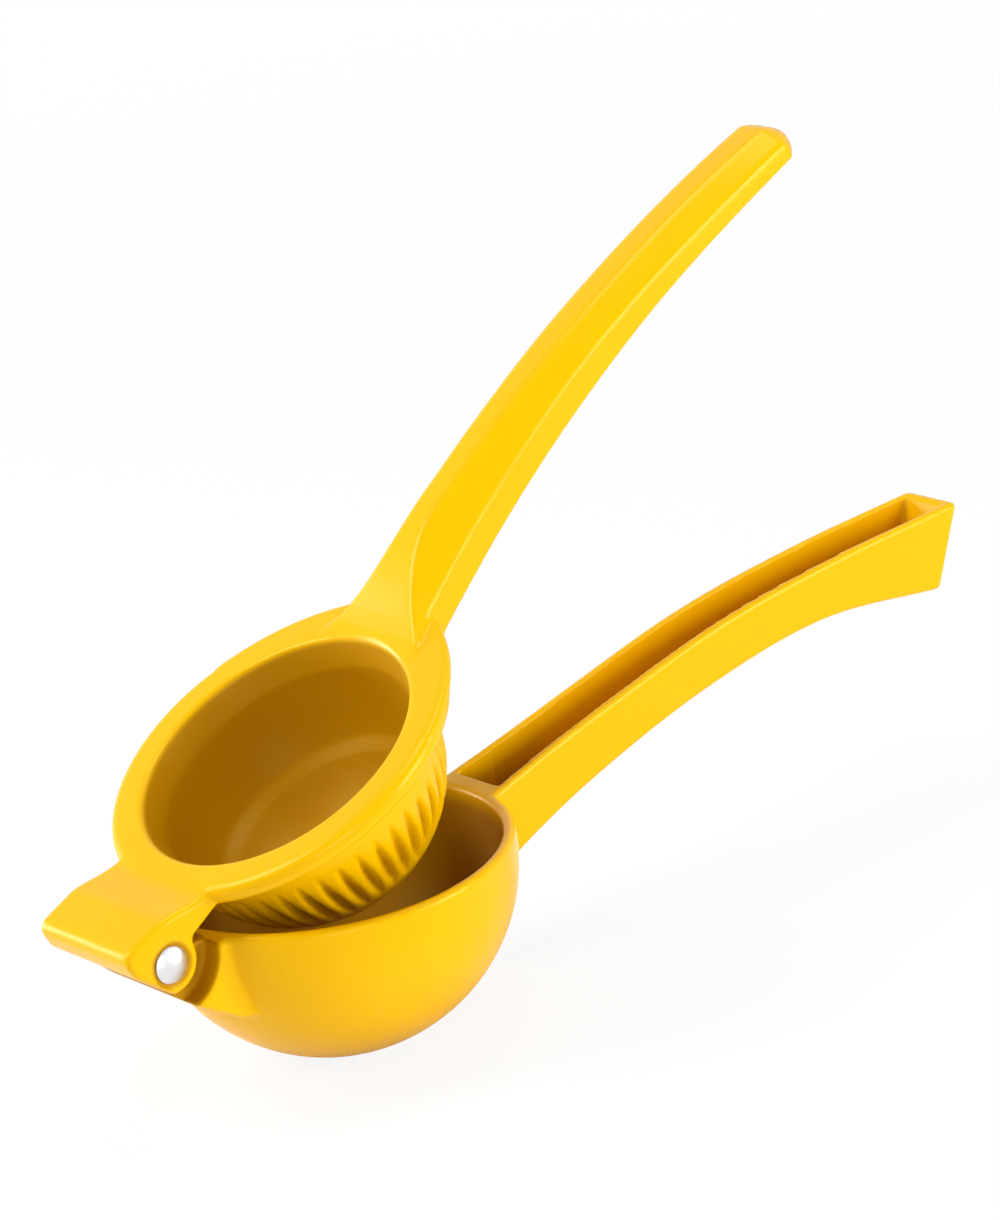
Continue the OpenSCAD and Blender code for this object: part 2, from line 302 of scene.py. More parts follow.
foot_angle = -90 + math.degrees(math.acos((BOWL_R - FOOT_CUT) / BOWL_R))
rim_angle = math.degrees(math.asin((RIM_Z - RIM_ROUND - BOWL_Z) / BOWL_R))
outside = arc(BOWL_Z, BOWL_R, foot_angle, rim_angle, 48)
foot_z = outside[0][1]
rim_corner = (BOWL_R - RIM_CORNER_IN, RIM_Z - RIM_CORNER_DOWN)
bowl_outline = [(0, foot_z)] + outside + [rim_corner, (BOWL_R - RIM_ROUND, RIM_Z), (0, RIM_Z)]
bowl = lathe("bowl_casting", bowl_outline, CUP_X)
print("foot is", round(foot_z + PIN_Z, 3), "mm above the table")

# %% [markdown]
# The neck carries the bowl on the pin. Seen from the side it is a wedge with a round knuckle at
# its end, so it is cut as a plate and a rod is laid across it. A pocket on each side, cut about the
# pin's axis, leaves room for the ears of the other arm to turn in.

# %% neck and knuckle
KNUCKLE_R, KNUCKLE_HALF, CHEEK_HALF, POCKET_R = 4.6, 9.3, 14.1, 9.9
ROD_HALF = 13.0  # the knuckle's rod, which the pockets shorten
PAST_SIDES = 20.0  # where a rod that cuts through a casting ends
NECK_TOP = [(0, 0), (17.2, 0)]
NECK_UNDERSIDE = [(17.2, -16.8), (12.2, -15.6), (KNUCKLE_R, -10.5), (0.6, -7.0), (-2.3, -3.96)]

neck = plate("neck", NECK_TOP + NECK_UNDERSIDE, CHEEK_HALF)
round_edges(neck, 1.0, segments=2, sharper_than=30)
combine(neck, [rod("knuckle", 0, 0, KNUCKLE_R, -ROD_HALF, ROD_HALF)], "UNION")
for side in (-1, 1):
    pocket = rod("pocket", 0, 0, POCKET_R, side * KNUCKLE_HALF, side * PAST_SIDES)
    combine(neck, [pocket], "DIFFERENCE")

# %% [markdown]
# The lower handle is a channel, open on top, whose end flares down and is cut at a slant. The bar
# is pulled through 35 rectangles and its end is cut off with bisect. A thinner bar, pulled through
# rectangles that stand higher, becomes the tool that hollows it. The edges are rounded before the
# cut, because rounding the slanted end as well would leave small gaps in the solid.

# %% lower handle
LOWER_FROM, LOWER_TO, LOWER_HALF = 68.0, 200.8, 7.0
LOWER_TOP_START = 77.2
LOWER_TOP = (0.4, 7.1, 12.8, 15.0, 15.4)
LOWER_BOTTOM = (-15.6, -5.6, 1.3, 3.9, -0.6)
LOWER_BOTTOM_START, LOWER_BOTTOM_END = 73.4, 193.4
LOWER_FLARE, LOWER_FLARE_SHARE = 1.2, 0.22
WALL, FLOOR, HANDLE_EDGE = 1.8, 2.2, 0.9
CHANNEL_FROM, CHANNEL_RISE, END_WALL = 80.6, 4.0, 2.1


def flare(share, reach):
    """Falls along a curve from 1 at the handle's root to 0 at a share of its length."""
    return max(0, 1 - share / reach) ** 2


def lower_section(x, inset=0.0, lift=0.0, rise=0.0):
    top_share = from_0_to_1((x - LOWER_TOP_START) / (LOWER_TO - LOWER_TOP_START))
    bottom_share = from_0_to_1((x - LOWER_BOTTOM_START) / (LOWER_BOTTOM_END - LOWER_BOTTOM_START))
    half = LOWER_HALF + LOWER_FLARE * flare(top_share, LOWER_FLARE_SHARE) - inset
    top, bottom = height(LOWER_TOP, top_share) + rise, height(LOWER_BOTTOM, bottom_share) + lift
    return [(x, -half, top), (x, -half, bottom), (x, half, bottom), (x, half, top)]


def slant_end(piece, shorter_by=0.0):
    """Cuts the bar's end along a line from its top corner to its bottom corner."""
    alone(piece)
    bpy.ops.object.mode_set(mode="EDIT")
    bpy.ops.mesh.select_all(action="SELECT")
    top = at(LOWER_TO - shorter_by, 0, LOWER_TOP[-1])
    bottom = at(LOWER_BOTTOM_END - shorter_by, 0, LOWER_BOTTOM[-1])
    along = (top - bottom).normalized()
    outwards = Vector((along.z, 0, -along.x))
    bpy.ops.mesh.bisect(plane_co=top, plane_no=outwards, use_fill=True, clear_outer=True)
    return close_skin(piece)


lower_sections = [lower_section(x) for x in between(LOWER_FROM, LOWER_TO, 34)]
lower = pull("lower_handle", lower_sections, HANDLE_EDGE)
slant_end(lower)
channel_places = between(CHANNEL_FROM, LOWER_TO, 30)
channel = pull("channel", [lower_section(x, WALL, FLOOR, CHANNEL_RISE) for x in channel_places])
slant_end(channel, END_WALL)

# %% [markdown]
# The three solids become one, then everything hollow is cut: the inside of the bowl, the channel,
# the juice slots and the bore. A slot is a bar with two round ends, made once and copied round.

# %% join and hollow the bowl arm
ABOVE_RIM = 4.0
BORE_R = 2.55
SLOTS, SLOT_WIDTH, SLOT_START, SLOT_END = 8, 2.8, 5.0, 14.0
SLOT_CUT_FROM, SLOT_CUT_HEIGHT = -45, 20

hollow_r = BOWL_R - BOWL_WALL
hollow_rim = math.degrees(math.asin((RIM_Z - 0.8 - BOWL_Z) / hollow_r))
rounded_rim = [(hollow_r + 0.25, RIM_Z - 0.3), (hollow_r + 0.8, RIM_Z + 0.02)]
opening = [(hollow_r + 1.5, RIM_Z + ABOVE_RIM), (0, RIM_Z + ABOVE_RIM)]
hollow_outline = arc(BOWL_Z, hollow_r, -90, hollow_rim, 48) + rounded_rim + opening
bowl_inside = lathe("bowl_inside", hollow_outline, CUP_X)


def slot_cutter(turn):
    slot_r = SLOT_WIDTH / 2
    outline = []
    for middle, first in ((SLOT_END - slot_r, -90), (SLOT_START + slot_r, 90)):
        for i in range(9):
            angle = math.radians(first + 22.5 * i)
            outline.append((middle + slot_r * math.cos(angle), slot_r * math.sin(angle)))
    spin = Matrix.Rotation(turn, 3, "Z")
    places = [spin @ Vector((x, y, 0)) for x, y in outline]
    piece = pen("slot", [at(CUP_X + p.x, p.y, SLOT_CUT_FROM) for p in places])
    bpy.ops.mesh.edge_face_add()
    bpy.ops.mesh.extrude_region_move(TRANSFORM_OT_translate={"value": (0, 0, SLOT_CUT_HEIGHT * MM)})
    return close_skin(piece)


combine(bowl, [neck, lower], "UNION")
bore = rod("bore", 0, 0, BORE_R, -PAST_SIDES, PAST_SIDES)
combine(bowl, [bowl_inside, channel, bore], "DIFFERENCE")
combine(bowl, [slot_cutter(i * 2 * math.pi / SLOTS) for i in range(SLOTS)], "DIFFERENCE")
soften(bowl, rounds=9)

# %% [markdown]
# The inside of the bowl, the pockets and the channel are the hollows of this casting, and shade is
# painted into them. In the channel the shade is painted at the bowl's end only, where the walls
# stand high, and it fades out about a quarter of the way along the handle.

# %% painted shade of the bowl arm
# Where the painted shade in the channel starts, where it ends, and over how many mm it fades.
CHANNEL_START, CHANNEL_SHADE_TO, CHANNEL_SHADE_OVER = 78, 105, 24


def bowl_arm_painted_shade(x, y, z):
    """How much shade is painted on a place, from 0 to 1, by how deep in a hollow it lies."""
    if math.hypot(x - CUP_X, y, z - BOWL_Z) < hollow_r + 0.6:
        return from_0_to_1((RIM_Z - 0.7 - z) / 3)
    if math.hypot(x, z) < POCKET_R + 0.4:
        return from_0_to_1((CHEEK_HALF - abs(y)) / 1.5)
    section = lower_section(x)
    top, bottom = section[0][2], section[1][2]
    inside = abs(y) < LOWER_HALF - WALL + 0.4 and z > bottom + FLOOR / 2
    if x > CHANNEL_START and inside:
        near_bowl = from_0_to_1((CHANNEL_SHADE_TO - x) / CHANNEL_SHADE_OVER)
        return from_0_to_1((top - 1 - z) / 6) * near_bowl
    return 0


mark_painted_shade(bowl, bowl_arm_painted_shade)
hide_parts("bowl_arm")
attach(bowl, "bowl")

# %% [markdown]
# ## Piece 2: the press arm
# This casting is built closed, flat above the bowl, because its heights are simple there, and is
# turned open about the pin at the end. The cup is two solids: a ball for the dome and a disc with
# a well rounded edge for the flange. Both come from one outline on the lathe.

# %% press cup, solid
DOME_R, DOME_Z, DOME_WALL = 28.2, -0.7, 2.8
FLANGE_R, FLANGE_TOP, FLANGE_UNDER, FLANGE_EDGE = 34.1, 5.0, 0.9, 1.8
MOUTH_R = 27.2

edge_x = FLANGE_R - FLANGE_EDGE
low_edge = [(edge_x + r, z) for r, z in arc(FLANGE_UNDER + FLANGE_EDGE, FLANGE_EDGE, -90, 0, 6)]
top_edge = [(edge_x + r, z) for r, z in arc(FLANGE_TOP - FLANGE_EDGE, FLANGE_EDGE, 0, 90, 6)]
dome = arc(DOME_Z, DOME_R, -90, math.degrees(math.asin((FLANGE_UNDER - DOME_Z) / DOME_R)), 44)
press = lathe("press_casting", dome + low_edge + top_edge + [(0, FLANGE_TOP)], CUP_X)

# %% [markdown]
# The hood is a plate again, with round ears for the pin. The knuckle of the other arm turns inside
# it, so a rod a little larger than the knuckle and a box are cut out below.

# %% hood and ears
FORK_HALF, EAR_HALF, EAR_R = 9.7, 13.7, 5.7
HOOD_FRONT, HOOD_TOP, HOOD_LIP, HOOD_EDGE = 6.7, 8.2, 1.0, 2.4
RIM_BAND = 4.0  # the hood reaches this far in from the flange's edge
KNUCKLE_GAP, ROOM = 0.5, 40.0

hood_back = CUP_X - FLANGE_R + RIM_BAND
back_top = FLANGE_TOP - 0.3
front_arc = arc(HOOD_TOP - HOOD_EDGE, HOOD_EDGE, 180, 90, 6)
rounded_front = [(-HOOD_FRONT + HOOD_EDGE + x, z) for x, z in front_arc]
falling_top = []
for share in between(0.2, 1, 12):
    fall = 0.5 + 0.5 * math.cos(math.pi * share)
    falling_top.append((share * hood_back, back_top + (HOOD_TOP - back_top) * fall))
lobe_angles = [math.radians(angle) for angle in range(-10, -121, -10)]
lobe = [(EAR_R * math.cos(angle), EAR_R * math.sin(angle)) for angle in lobe_angles]
ear_top = [(hood_back, FLANGE_UNDER + 0.3), (EAR_R + 0.4, FLANGE_UNDER - 0.4)]
front_foot = (-HOOD_FRONT, HOOD_LIP + 2.4)
hood = plate("hood", [front_foot] + rounded_front + falling_top + ear_top + lobe, EAR_HALF)
round_edges(hood, 0.9, segments=2, sharper_than=50)
knuckle_room = rod("knuckle_room", 0, 0, KNUCKLE_R + KNUCKLE_GAP, -FORK_HALF, FORK_HALF)
room_side = [(-ROOM, HOOD_LIP), (ROOM, HOOD_LIP), (ROOM, -ROOM), (-ROOM, -ROOM)]
neck_room = plate("neck_room", room_side, FORK_HALF)
combine(hood, [knuckle_room, neck_room], "DIFFERENCE")

# %% [markdown]
# The upper handle has a roof-shaped section: a flat band along its crest, a sloping flank on each
# side and upright side walls. The band is as wide as the handle at the cup and narrows along a
# curve, which is the shape that catches the light in the photograph. At the cup the crest rises out
# of the flange along a fillet, and the far end is rounded off. Each corner of each section is a
# short curve, so both ridges of the roof are soft along their whole length.

# %% upper handle
UPPER_FROM, UPPER_TO, UPPER_HALF, CREST_HALF = 73.5, 199.6, 7.35, 3.0
UPPER_CREST = (5.3, 14.3, 17.4, 19.4, 20.7, 21.1, 20.9, 19.9, 18.1)
UPPER_EDGE = (4.4, 8.4, 11.7, 14.8, 16.8, 17.5, 17.2, 16.5, 15.5)
UPPER_BOTTOM = (-1.5, 1.9, 5.4, 8.5, 10.7, 12.1, 12.5, 12.2, 11.5)
UPPER_WALL, UPPER_ROOF, UNDER_CUT, UNDER_START = 2.0, 2.4, 3.0, 4.0
ROUND_END, ROOT_FROM, ROOT_FILLET = 4.6, 70.5, 1.4
SIDE_FLARE, SIDE_FLARE_SHARE = 2.5, 0.3
FOOT_FLARE, FOOT_FLARE_SHARE = 3.2, 0.07
CREST_FLARE, CREST_FLARE_SHARE = 9.0, 0.162
SMALLEST_END, END_DROP = 0.02, 0.6


def smooth_max(a, b, fillet):
    """The larger of two heights, with a fillet where they cross."""
    return (a + b + math.hypot(a - b, fillet)) / 2


def upper_section(x, inset=0.0, roof=0.0, sink=0.0):
    share = (x - UPPER_FROM) / (UPPER_TO - UPPER_FROM)
    left = (UPPER_TO - x) / ROUND_END
    end = 1 if left >= 1 else math.sqrt(max(SMALLEST_END, left))
    fall = 1 - END_DROP * (1 - end ** 2) ** 1.5
    foot = FOOT_FLARE * flare(max(0, share), FOOT_FLARE_SHARE)
    half = (UPPER_HALF + (SIDE_FLARE * flare(share, SIDE_FLARE_SHARE) + foot)) * end - inset
    crest = min((CREST_HALF + CREST_FLARE * flare(share, CREST_FLARE_SHARE)) * end, half)
    bottom = height(UPPER_BOTTOM, share) - sink if share >= 0 else FLANGE_UNDER + 0.5
    above_flange = smooth_max(FLANGE_TOP - 0.15, height(UPPER_CREST, share), ROOT_FILLET)
    top = bottom + (above_flange - roof - bottom) * fall
    edge = bottom + (height(UPPER_EDGE, share) - roof - bottom) * min(1, 1.3 * fall)
    return [(x, -crest, top), (x, -half, edge), (x, -half, bottom),
            (x, half, bottom), (x, half, edge), (x, crest, top)]


def bend(start, corner, end, steps):
    """Points of a curve that leaves towards the corner and arrives from it."""
    shares = between(0, 1, steps)
    return [start * (1 - t) ** 2 + corner * 2 * t * (1 - t) + end * t ** 2 for t in shares]


SHORTEST_CORNER = 0.05  # keeps its points apart, so that pull can tell them from each other


def round_corners(section, radii):
    """Replaces each corner of a section with a curve of four steps."""
    ring = []
    for i, radius in enumerate(radii):
        corner = Vector(section[i])
        to_last = Vector(section[i - 1]) - corner
        to_next = Vector(section[(i + 1) % len(section)]) - corner
        half_turn = (math.pi - to_last.angle(to_next)) / 2
        longest = 0.4 * min(to_last.length, to_next.length)
        reach = max(SHORTEST_CORNER, min(radius * math.tan(half_turn), longest))
        start, end = corner + to_last.normalized() * reach, corner + to_next.normalized() * reach
        ring += bend(start, corner, end, 4)
    return ring


CREST_ROUND, EDGE_ROUND, BOTTOM_ROUND = 2.2, 1.8, 1.1
ROUNDS = (CREST_ROUND, EDGE_ROUND, BOTTOM_ROUND, BOTTOM_ROUND, EDGE_ROUND, CREST_ROUND)
straight_to = UPPER_TO - ROUND_END
root = between(ROOT_FROM, UPPER_FROM - 0.1, 4)
rounding = [straight_to + ROUND_END * math.sin(math.radians(a)) for a in (15, 30, 45, 60, 75, 90)]
upper_places = root + between(UPPER_FROM, straight_to, 44) + rounding
upper = pull("upper_handle", [round_corners(upper_section(x), ROUNDS) for x in upper_places])
under_places = between(CUP_X + FLANGE_R + UNDER_START, straight_to - 1, 30)
under_sections = [upper_section(x, UPPER_WALL, UPPER_ROOF, UNDER_CUT) for x in under_places]
under_channel = pull("under_channel", under_sections)

# %% [markdown]
# The flange doesn't stop dead at the handle. It widens along a curve on both sides until it meets
# the handle's walls, which keeps a casting from cracking there. This web is a plate, drawn in plan.

# %% web between flange and handle
WEB_ANGLE, WEB_REACH, WEB_END = math.radians(70), 18.5, Vector((81.0, 8.2))
WEB_THICKNESS, WEB_EDGE = 2.2, 1.0

web_start = Vector((CUP_X + FLANGE_R * math.cos(WEB_ANGLE), FLANGE_R * math.sin(WEB_ANGLE)))
web_corner = web_start + WEB_REACH * Vector((math.sin(WEB_ANGLE), -math.cos(WEB_ANGLE)))
web_side = bend(web_start, web_corner, WEB_END, 24)
web_outline = web_side + [Vector((x, -y)) for x, y in reversed(web_side)]
web = pen("web", [at(x, y, FLANGE_TOP - 0.02) for x, y in web_outline])
bpy.ops.mesh.edge_face_add()
bpy.ops.mesh.extrude_region_move(TRANSFORM_OT_translate={"value": (0, 0, -WEB_THICKNESS * MM)})
close_skin(web)
round_edges(web, WEB_EDGE, segments=4, sharper_than=50)

# %% [markdown]
# Inside, the cup is a smaller ball with a low ledge, a wall that widens upwards so the casting
# leaves its mould, and a softened mouth. Outside, 44 V-shaped flutes let juice run past the dome.
# One flute is a three-sided prism laid along a chord of the dome, and the rest are its copies.

# %% cup hollow
LEDGE_Z, LEDGE_WIDTH, ABOVE_MOUTH = -15.5, 0.9, 5.0

inside_r = DOME_R - DOME_WALL
floor_r = inside_r - LEDGE_WIDTH
floor_angle = math.degrees(math.asin((LEDGE_Z - DOME_Z) / floor_r))
ledge_angle = math.degrees(math.asin((LEDGE_Z - DOME_Z) / inside_r))
cup_floor = arc(DOME_Z, floor_r, -90, floor_angle - 2, 24)
cup_wall = arc(DOME_Z, inside_r, ledge_angle + 3, 0, 24)
mouth = [(MOUTH_R - 0.3, FLANGE_TOP - 1), (MOUTH_R, FLANGE_TOP - 0.3),
         (MOUTH_R + 0.6, FLANGE_TOP + 0.05), (MOUTH_R + 2, FLANGE_TOP + ABOVE_MOUTH)]
cup_outline = cup_floor + cup_wall + mouth + [(0, FLANGE_TOP + ABOVE_MOUTH)]
cup_inside = lathe("cup_inside", cup_outline, CUP_X)

# %% flutes
FLUTES, FLUTE_DEPTH, FLUTE_HALF, FLUTE_START = 44, 1.8, 2.7, 2.6
PAST_CHORD = 6.0  # longer than the chord, so that each flute runs out of the dome at both ends

half_span = math.acos(1 - FLUTE_DEPTH / DOME_R)
chord = 2 * DOME_R * math.sin(half_span)
flute_tilt = math.asin(FLUTE_START / DOME_R) + half_span
prism_r = FLUTE_DEPTH * 4 / 3
dome_middle = Matrix.Translation(at(CUP_X, 0, DOME_Z))


def flute_cutter(turn):
    bpy.ops.object.select_all(action="DESELECT")
    length = chord + PAST_CHORD
    bpy.ops.mesh.primitive_cylinder_add(vertices=3, radius=prism_r * MM, depth=length * MM)
    piece = bpy.context.object
    widen = Matrix.Diagonal((1, FLUTE_HALF / (prism_r * math.sqrt(0.75)), 1, 1))
    outwards = Matrix.Translation(((DOME_R - FLUTE_DEPTH + prism_r) * MM, 0, 0))
    point_inwards = widen @ Matrix.Rotation(math.radians(90), 4, "Z")
    tilt = Matrix.Rotation(turn, 4, "Z") @ Matrix.Rotation(flute_tilt, 4, "Y")
    piece.data.transform(dome_middle @ tilt @ outwards @ point_inwards)
    return piece


flutes = [flute_cutter((i + 0.5) * 2 * math.pi / FLUTES) for i in range(FLUTES)]
for flute in flutes:
    flute.select_set(True)
bpy.context.view_layer.objects.active = flutes[0]
bpy.ops.object.join()
all_flutes = bpy.context.object
print(FLUTES, "flutes along chords of", round(chord, 1), "mm")

# %% [markdown]
# The flutes are cut before the hood and the handle are joined on, so they don't run into them. The
# pin's hole and the shallow seats for its heads come last. The cup's inside is more open than the
# bowl's, so the shade painted into it is a little lighter.

# %% join and hollow the press arm
PIN_R, PIN_SEAT_R, PIN_SEAT_Y = 2.5, 4.15, 13.2

combine(press, [all_flutes], "DIFFERENCE")
combine(press, [hood, upper, web], "UNION")
combine(press, [cup_inside, under_channel], "DIFFERENCE")
for side in (-1, 1):
    pin_seat = rod("pin_seat", 0, 0, PIN_SEAT_R, side * PIN_SEAT_Y, side * PAST_SIDES)
    combine(press, [pin_seat], "DIFFERENCE")
combine(press, [rod("pin_hole", 0, 0, PIN_R, -PAST_SIDES, PAST_SIDES)], "DIFFERENCE")
soften(press, rounds=7)

# %% painted shade of the press arm
# How strongly shade is painted into the cup, a little less than in the bowl.
CUP_PAINTED_SHADE = 0.85


def press_arm_painted_shade(x, y, z):
    """How much shade is painted on a place, from 0 to 1, by how deep in the cup, a pin seat or a
    flute it lies.
    """
    from_dome = math.hypot(x - CUP_X, y, z - DOME_Z)
    in_mouth = z > DOME_Z and math.hypot(x - CUP_X, y) < MOUTH_R + 0.3
    if from_dome < inside_r + 0.5 or in_mouth:
        return CUP_PAINTED_SHADE * from_0_to_1((FLANGE_TOP - 0.2 - z) / 0.9)
    if math.hypot(x, z) < PIN_SEAT_R + 0.25 and abs(y) > PIN_SEAT_Y - 0.2:
        return from_0_to_1((EAR_HALF - abs(y)) / 0.3)
    if z < FLANGE_UNDER - 1 and from_dome < DOME_R + 0.3:
        return from_0_to_1((DOME_R - 0.5 - from_dome) / (0.5 * FLUTE_DEPTH))
    return 0


mark_painted_shade(press, press_arm_painted_shade)
press.data.transform(about_pin(-OPEN_ANGLE, "Y"))
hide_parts("press_arm")
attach(press, "press")

# %% [markdown]
# ## Piece 3: the rivet
# The pin is a rivet of bare metal. Its heads are low domes with a small upright edge, as a riveting
# tool leaves them. One outline on the lathe makes the whole rivet standing up, and it is then laid
# down along the hinge.

# %% rivet
HEAD_R, HEAD_HEIGHT, HEAD_DOME, HEAD_WALL, HEAD_CHAMFER = 3.4, 1.5, 1.0, 0.4, 0.25

ball_r = (HEAD_R ** 2 + HEAD_DOME ** 2) / (2 * HEAD_DOME)
dome_edge = math.asin((HEAD_R - HEAD_CHAMFER) / ball_r)
head_top = PIN_SEAT_Y + HEAD_HEIGHT
head = [(PIN_R, PIN_SEAT_Y), (HEAD_R, PIN_SEAT_Y), (HEAD_R, PIN_SEAT_Y + HEAD_WALL)]
for angle in between(dome_edge, 0, 10):
    head.append((ball_r * math.sin(angle), head_top - ball_r * (1 - math.cos(angle))))
rivet_outline = [(r, -z) for r, z in reversed(head)] + head
rivet = lathe("rivet", rivet_outline, 0, steps=72)
rivet.data.transform(about_pin(math.radians(90), "X"))
alone(rivet)
bpy.ops.object.shade_smooth_by_angle(angle=math.radians(35))
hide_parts("hinge_pin")
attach(rivet, "press")

# %% [markdown]
# ## Colours and nodes
# Colours are written as they look on a screen, in hex, and turned to the linear values that Blender
# works with. One function adds any node: it links the sockets in `links`, fills those in `values`
# and sets the node's own settings. Sockets go by name, or by number where a name isn't unique.

# %% colour and node helpers
MIX_A, MIX_B, MIX_OUT = 6, 7, 2  # the colour sockets of a Mix node


def linear(hex_colour):
    """The linear red, green, blue and alpha of a screen colour such as #FFE696."""
    shown = [int(hex_colour[i:i + 2], 16) / 255 for i in (1, 3, 5)]
    levels = [c / 12.92 if c <= 0.04045 else ((c + 0.055) / 1.055) ** 2.4 for c in shown]
    return (*levels, 1.0)


def node(tree, kind, links=None, values=None, **settings):
    made = tree.nodes.new(kind)
    for key, setting in settings.items():
        setattr(made, key, setting)
    for socket, value in (values or {}).items():
        made.inputs[socket].default_value = value
    for socket, source in (links or {}).items():
        tree.links.new(source, made.inputs[socket])
    return made


def new_finish(name):
    material = bpy.data.materials.new(name)
    material.use_nodes = True
    material.node_tree.nodes.clear()
    return material, material.node_tree


# %% [markdown]
# ## Finish 1: baked enamel
# The castings are coated with a yellow enamel powder that melts in an oven. It flows while hot, so
# the gloss is high but the surface keeps a faint waviness, called orange peel, about 2 mm from
# crest to crest and a few thousandths of a millimetre deep. A second, coarser noise varies the
# tone and the gloss a little, as on a tool that has been handled. In the hollows, shade is painted
# in: the colour is mixed towards a brown and the coat made duller. Yellow on yellow turns orange in
# the hollows by itself, because light bounces there several times.

# %% enamel
enamel, tree = new_finish("baked_yellow_enamel")
place = node(tree, "ShaderNodeTexCoord").outputs["Object"]
peel = node(tree, "ShaderNodeTexNoise", {"Vector": place},
            {"Scale": 1 / (2.2 * MM), "Detail": 1.0, "Roughness": 0.4})
bump = node(tree, "ShaderNodeBump", {"Height": peel.outputs["Fac"]},
            {"Strength": 0.25, "Distance": 0.02 * MM})
patches = node(tree, "ShaderNodeTexNoise", {"Vector": place},
               {"Scale": 1 / (18 * MM), "Detail": 3.0})
gloss = node(tree, "ShaderNodeMapRange", {"Value": patches.outputs["Fac"]},
             {"To Min": 0.22, "To Max": 0.30})
tone = node(tree, "ShaderNodeMix", {"Factor": patches.outputs["Fac"]},
            {MIX_A: linear("#E2AC00"), MIX_B: linear("#E5B000")}, data_type="RGBA")
# Painted shade: the hollows' number mixes the brown #AF7C00 into the colour and raises the
# roughness.
painted_shade = node(tree, "ShaderNodeAttribute", attribute_name="painted_shade")
painted_shade_colour = node(tree, "ShaderNodeMix",
                 {"Factor": painted_shade.outputs["Fac"], MIX_A: tone.outputs[MIX_OUT]},
                 {MIX_B: linear("#AF7C00")}, data_type="RGBA")
duller = node(tree, "ShaderNodeMath", {0: painted_shade.outputs["Fac"], 2: gloss.outputs["Result"]},
              {1: 0.25}, operation="MULTIPLY_ADD")
skin = node(tree, "ShaderNodeBsdfPrincipled",
            {"Base Color": painted_shade_colour.outputs[MIX_OUT], "Roughness": duller.outputs["Value"],
             "Normal": bump.outputs["Normal"]},
            {"IOR": 1.5, "Specular IOR Level": 0.24, "Specular Tint": linear("#FFE696")})
node(tree, "ShaderNodeOutputMaterial", {"Surface": skin.outputs["BSDF"]})
for casting in (bowl, press):
    casting.data.materials.clear()
    casting.data.materials.append(enamel)

# %% [markdown]
# ## Finish 2: the rivet's bare metal
# The rivet is soft aluminium wire whose heads were rolled by a turning tool. That leaves fine rings
# about the rivet's own axis, so the pattern is a function of the distance from that axis.

# %% rivet metal
bright, tree = new_finish("rolled_aluminium")
place = node(tree, "ShaderNodeTexCoord").outputs["Object"]
centred = node(tree, "ShaderNodeMapping", {"Vector": place}, {"Location": -at(0, 0, 0)})
flat = node(tree, "ShaderNodeVectorMath", {0: centred.outputs["Vector"]},
            {1: (1, 0, 1)}, operation="MULTIPLY")
radius = node(tree, "ShaderNodeVectorMath", {0: flat.outputs["Vector"]}, operation="LENGTH")
rings = node(tree, "ShaderNodeMath", {0: radius.outputs["Value"]},
             {1: 2 * math.pi / (0.35 * MM)}, operation="MULTIPLY")
wave = node(tree, "ShaderNodeMath", {0: rings.outputs["Value"]}, operation="SINE")
ring_bump = node(tree, "ShaderNodeBump", {"Height": wave.outputs["Value"]},
                 {"Strength": 0.3, "Distance": 0.01 * MM})
metal = node(tree, "ShaderNodeBsdfPrincipled", {"Normal": ring_bump.outputs["Normal"]},
             {"Metallic": 1.0, "Roughness": 0.3, "Base Color": linear("#D2D2D6")})
node(tree, "ShaderNodeOutputMaterial", {"Surface": metal.outputs["BSDF"]})
rivet.data.materials.clear()
rivet.data.materials.append(bright)

# %% [markdown]
# ## Floor, background and light
# The photograph has a plain white background. The floor is a matt white sheet that keeps the
# object's soft shadow. To the camera it also glows, by 0.88 of white near the object and fully far
# away, so that it runs into the world, which is white where the camera or a reflection looks at it.

# %% floor
FLOOR_WIDTH, GLOW_FROM, GLOW_TO, NEAR_GLOW = 6.0, 0.15, 0.8, 0.88
WHITE = (1, 1, 1, 1)

bpy.ops.object.select_all(action="DESELECT")
bpy.ops.mesh.primitive_plane_add(size=FLOOR_WIDTH, location=(0, 0, 0))
floor = bpy.context.object
floor.name = "floor"
paper, tree = new_finish("white_paper_floor")
sight = node(tree, "ShaderNodeLightPath")
matt = node(tree, "ShaderNodeBsdfDiffuse", values={"Color": linear("#F4F4F4")})
glow = node(tree, "ShaderNodeEmission", values={"Color": WHITE, "Strength": 1.0})
place = node(tree, "ShaderNodeTexCoord").outputs["Object"]
distance = node(tree, "ShaderNodeVectorMath", {0: place}, operation="LENGTH")
fade = node(tree, "ShaderNodeMapRange", {"Value": distance.outputs["Value"]},
            {"From Min": GLOW_FROM, "From Max": GLOW_TO, "To Min": NEAR_GLOW, "To Max": 1.0},
            interpolation_type="SMOOTHSTEP")
shine = node(tree, "ShaderNodeMath",
             {0: sight.outputs["Is Camera Ray"], 1: fade.outputs["Result"]}, operation="MULTIPLY")
both = node(tree, "ShaderNodeMixShader",
            {0: shine.outputs["Value"], 1: matt.outputs["BSDF"], 2: glow.outputs["Emission"]})
node(tree, "ShaderNodeOutputMaterial", {"Surface": both.outputs["Shader"]})
floor.data.materials.append(paper)

# %% world
SOFT_LIGHT = 0.03

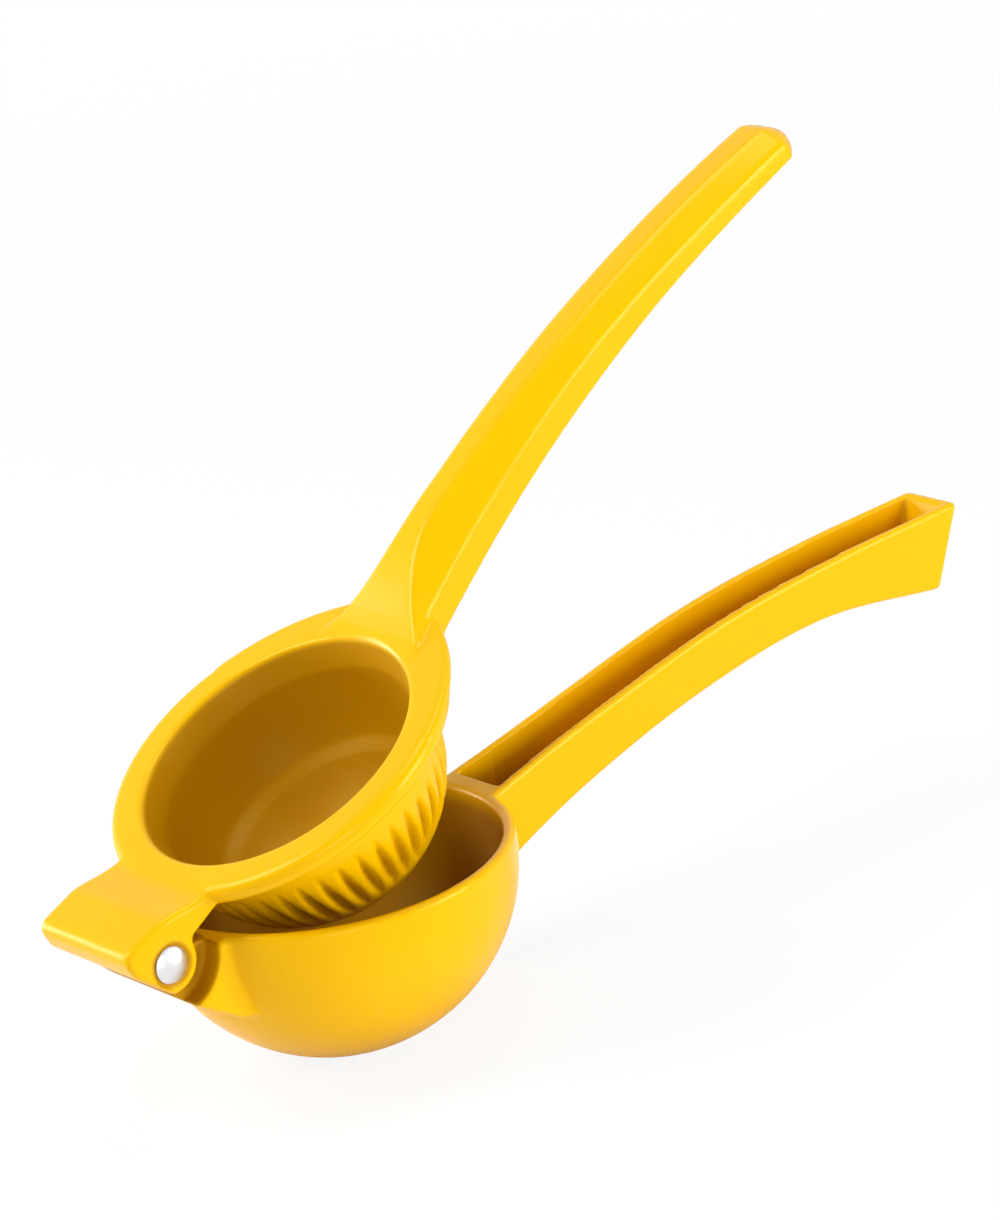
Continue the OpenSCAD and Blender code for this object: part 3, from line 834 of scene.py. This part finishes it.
world = bpy.data.worlds.new("studio")
bpy.context.scene.world = world
world.use_nodes = True
tree = world.node_tree
tree.nodes.clear()
sight = node(tree, "ShaderNodeLightPath")
seen = node(tree, "ShaderNodeMath",
            {0: sight.outputs["Is Camera Ray"], 1: sight.outputs["Is Glossy Ray"]},
            operation="MAXIMUM")
soft = node(tree, "ShaderNodeBackground", values={"Color": WHITE, "Strength": SOFT_LIGHT})
white = node(tree, "ShaderNodeBackground", values={"Color": WHITE, "Strength": 1.0})
both = node(tree, "ShaderNodeMixShader",
            {0: seen.outputs["Value"], 1: soft.outputs["Background"],
             2: white.outputs["Background"]})
node(tree, "ShaderNodeOutputWorld", {"Surface": both.outputs["Shader"]})

# %% [markdown]
# Five soft lamps stand in for a product studio. In the photograph the faces towards the camera are
# as bright as the upper ones, while the insides of the bowl and the cup stay dark, so most of the
# light comes in low. The places and powers were found by rendering one lamp at a time and adding
# the pictures up until the brightness of the main faces agreed.

# %% lamps
OBJECT_MIDDLE, SOFTBOX_WIDTH = Vector((0.03, 0, 0.05)), 0.45


def softbox(name, azimuth, elevation, watts):
    """A lamp 1 m away; azimuth 0 is on the handles' side and 270 on the near side."""
    around, up = math.radians(azimuth), math.radians(elevation)
    level = math.cos(up)
    outwards = Vector((level * math.cos(around), level * math.sin(around), math.sin(up)))
    bpy.ops.object.light_add(type="AREA", location=OBJECT_MIDDLE + outwards)
    lamp = bpy.context.object
    lamp.name = name
    lamp.data.size = SOFTBOX_WIDTH
    lamp.data.energy = watts
    lamp.rotation_euler = (-outwards).to_track_quat("-Z", "Y").to_euler()
    print(name, "shines", watts, "W from", azimuth, "degrees round and", elevation, "up")


softbox("near_right_softbox", 302, 11, 8.6)
softbox("near_left_softbox", 240, 11, 3.4)
softbox("far_high_softbox", 150, 45, 8.0)
softbox("far_low_softbox", 120, 6, 7.0)
softbox("top_softbox", 0, 80, 4.2)

# %% [markdown]
# The view stays plain, so a colour renders about as it was written. The imported model's pieces
# stay in the scene, hidden.

# %% finish
bpy.context.scene.view_settings.view_transform = "Standard"
